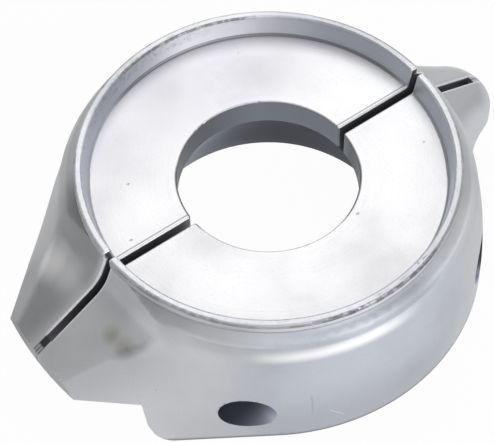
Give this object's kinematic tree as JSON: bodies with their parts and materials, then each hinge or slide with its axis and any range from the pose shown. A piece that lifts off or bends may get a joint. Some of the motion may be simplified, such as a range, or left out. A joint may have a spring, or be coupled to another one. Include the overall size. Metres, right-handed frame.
{
  "type": "split collar anode",
  "caption": "Split ring anode that clamps round a saildrive hub, with a raised rim, a recessed face, a broad sloping flare and a small rounded lobe.",
  "frame": {"origin": "on the bore axis, in the plane of the base that rests on the housing", "axes": "+Z along the bore axis from the base to the raised rim, -X towards the broad flare, +X towards the rounded lobe; the halves part on the plane y = 0"},
  "size_m": [0.1728, 0.136, 0.048],
  "materials": {
    "cast_zinc": "satin, as cast zinc",
    "stainless": "plain stainless steel"
  },
  "bodies": {
    "root": {"near_half": "cast_zinc", "far_half": "cast_zinc", "clamp_screw_flare_side": "stainless", "clamp_screw_lobe_side": "stainless"}
  },
  "joints": []
}
